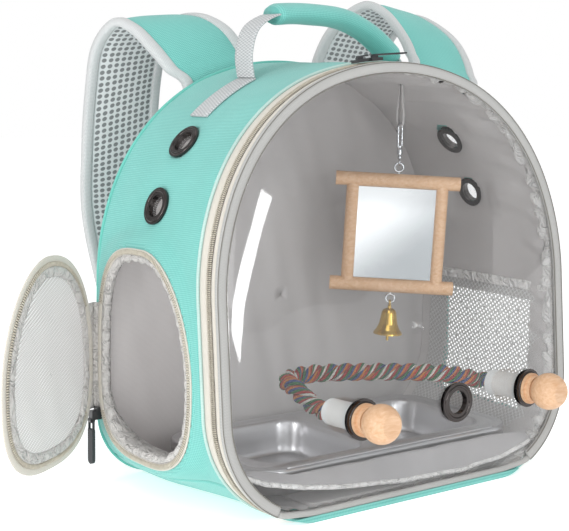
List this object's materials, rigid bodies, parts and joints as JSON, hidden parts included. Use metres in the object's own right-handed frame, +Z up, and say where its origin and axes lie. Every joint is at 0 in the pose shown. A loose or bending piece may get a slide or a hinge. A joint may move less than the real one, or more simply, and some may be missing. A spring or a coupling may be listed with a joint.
{
  "type": "pet carrier backpack",
  "caption": "Soft carrier backpack for a small bird with a clear domed front door, mesh side door, rope perch, steel tray, hanging mirror and bell, carry handle and shoulder straps.",
  "frame": {"origin": "on the floor under the middle of the base", "axes": "+X to the right seen from the front, +Y towards the back panel and straps, +Z up"},
  "size_m": [0.5986, 0.3475, 0.4366],
  "materials": {
    "teal_oxford": "satin",
    "grey_lining": "satin",
    "grey_webbing": "matte",
    "beige_tape": "matte",
    "zip_coil": "satin",
    "spacer_mesh": "matte",
    "thin_mesh": "matte",
    "stiff_board": "matte",
    "gunmetal": "polished",
    "clear_sheet": "clear",
    "beech": "sanded",
    "white_cap": "satin",
    "cotton_rope": "matte",
    "black_zip_metal": "satin",
    "black_rubber": "matte",
    "black_plastic": "satin",
    "stainless": "polished",
    "bright_steel": "polished",
    "toy_mirror": "polished",
    "brass": "polished"
  },
  "bodies": {
    "shell": {"side_gusset": "teal_oxford", "base_panel": "teal_oxford", "gusset_lining": "grey_lining", "back_panel": "teal_oxford", "back_lining": "grey_lining", "back_pad": "spacer_mesh", "base_strip": "teal_oxford", "floor_board": "stiff_board", "rear_piping": "grey_webbing", "front_piping": "beige_tape", "body_zip_tape": "beige_tape", "body_zip_teeth": "zip_coil", "side_eyelets": "gunmetal", "eyelet_mesh": "thin_mesh", "door_collar": "beige_tape", "collar_teeth": "zip_coil", "collar_trim": "grey_lining", "mesh_window": "thin_mesh", "outer_pocket": "thin_mesh", "ceiling_loop": "grey_lining", "handle_tabs": "grey_webbing", "strap_left_pad": "teal_oxford", "strap_left_mesh": "spacer_mesh", "strap_left_binding": "grey_webbing", "strap_left_webbing": "spacer_mesh", "strap_left_buckle": "black_plastic", "strap_right_pad": "teal_oxford", "strap_right_mesh": "spacer_mesh", "strap_right_binding": "grey_webbing", "strap_right_webbing": "spacer_mesh", "strap_right_buckle": "black_plastic"},
    "front_door": {"panel_tape": "beige_tape", "panel_zip_teeth": "zip_coil", "front_binding": "grey_webbing", "front_window": "clear_sheet", "window_eyelets": "gunmetal", "perch_sleeves": "white_cap", "perch_rope": "cotton_rope"},
    "knob_left": {"perch_knob_left": "beech"},
    "knob_right": {"perch_knob_right": "beech"},
    "side_door": {"door_tape": "beige_tape", "door_teeth": "zip_coil", "door_trim": "grey_lining", "door_mesh": "thin_mesh"},
    "door_slider": {"door_slider": "black_zip_metal"},
    "door_pull": {"door_pull": "black_rubber"},
    "zip_slider_left": {"zip_slider_left": "black_zip_metal"},
    "zip_slider_right": {"zip_slider_right": "black_zip_metal"},
    "handle": {"handle_webbing": "grey_webbing", "handle_grip": "teal_oxford"},
    "tray": {"steel_tray": "stainless"},
    "hook": {"snap_hook": "bright_steel"},
    "gate": {"snap_gate": "bright_steel"},
    "swivel": {"swivel_ring": "bright_steel"},
    "mirror_toy": {"cross_dowels": "beech", "side_dowels": "beech", "mirror_plate": "toy_mirror", "screw_eyes": "bright_steel"},
    "bell": {"bell": "brass"},
    "clapper": {"bell_clapper": "brass"}
  },
  "joints": [
    {"name": "front_door_hinge", "type": "hinge", "parent": "shell", "child": "front_door", "pos_m": [0, -0.10039, 0.009], "axis": [1, 0, 0], "range_deg": [0, 50]},
    {"name": "knob_left_spin", "type": "hinge", "parent": "front_door", "child": "knob_left", "pos_m": [-0.065, -0.10588, 0.0795], "axis": [-0.0117, -0.9989, 0.0461], "continuous": true},
    {"name": "knob_right_spin", "type": "hinge", "parent": "front_door", "child": "knob_right", "pos_m": [0.1355, -0.10221, 0.0795], "axis": [0.1093, -0.9933, 0.0384], "continuous": true},
    {"name": "side_door_hinge", "type": "hinge", "parent": "shell", "child": "side_door", "pos_m": [-0.2003, 0.096, 0.108], "axis": [0, 0, 1], "range_deg": [-60, 57]},
    {"name": "door_slider_travel", "type": "slide", "parent": "shell", "child": "door_slider", "axis": [0, -0.37, -0.929], "range_m": [0, 0.008]},
    {"name": "door_pull_swing", "type": "hinge", "parent": "door_slider", "child": "door_pull", "pos_m": [-0.205, 0.0928, 0.0551], "axis": [0, 1, 0], "range_deg": [-8, 70]},
    {"name": "zip_left_travel", "type": "hinge", "parent": "shell", "child": "zip_slider_left", "pos_m": [0, -0.07685, 0.135], "axis": [0, 0.996, -0.0896], "range_deg": [-9, 0]},
    {"name": "zip_right_travel", "type": "hinge", "parent": "shell", "child": "zip_slider_right", "pos_m": [0, -0.07685, 0.135], "axis": [0, 0.996, -0.0896], "range_deg": [0, 12]},
    {"name": "handle_fold", "type": "hinge", "parent": "shell", "child": "handle", "pos_m": [0, 0.03, 0.355], "axis": [1, 0, 0], "range_deg": [-18, 18]},
    {"name": "tray_lift", "type": "slide", "parent": "shell", "child": "tray", "axis": [0, 0, 1], "range_m": [0, 0.025]},
    {"name": "hook_swing", "type": "hinge", "parent": "shell", "child": "hook", "pos_m": [0.0695, 0.005, 0.3151], "axis": [0.9063, 0.4226, 0], "range_deg": [-8, 8]},
    {"name": "gate_open", "type": "hinge", "parent": "hook", "child": "gate", "pos_m": [0.07349, 0.00686, 0.2996], "axis": [0.4226, -0.9063, 0], "range_deg": [0, 18], "stiffness_Nm_per_rad": 0.004},
    {"name": "swivel_spin", "type": "hinge", "parent": "hook", "child": "swivel", "pos_m": [0.0695, 0.005, 0.288], "axis": [0, 0, 1], "continuous": true},
    {"name": "mirror_swing", "type": "hinge", "parent": "swivel", "child": "mirror_toy", "pos_m": [0.0695, 0.005, 0.2783], "axis": [0.7944, -0.6074, 0], "range_deg": [-12, 12]},
    {"name": "bell_swing", "type": "hinge", "parent": "mirror_toy", "child": "bell", "pos_m": [0.06522, 0.00827, 0.14981], "axis": [0.7944, -0.6074, 0], "range_deg": [-20, 20]},
    {"name": "clapper_swing", "type": "hinge", "parent": "bell", "child": "clapper", "pos_m": [0.06495, 0.00848, 0.14162], "axis": [0.7944, -0.6074, 0], "range_deg": [-12, 12]}
  ]
}
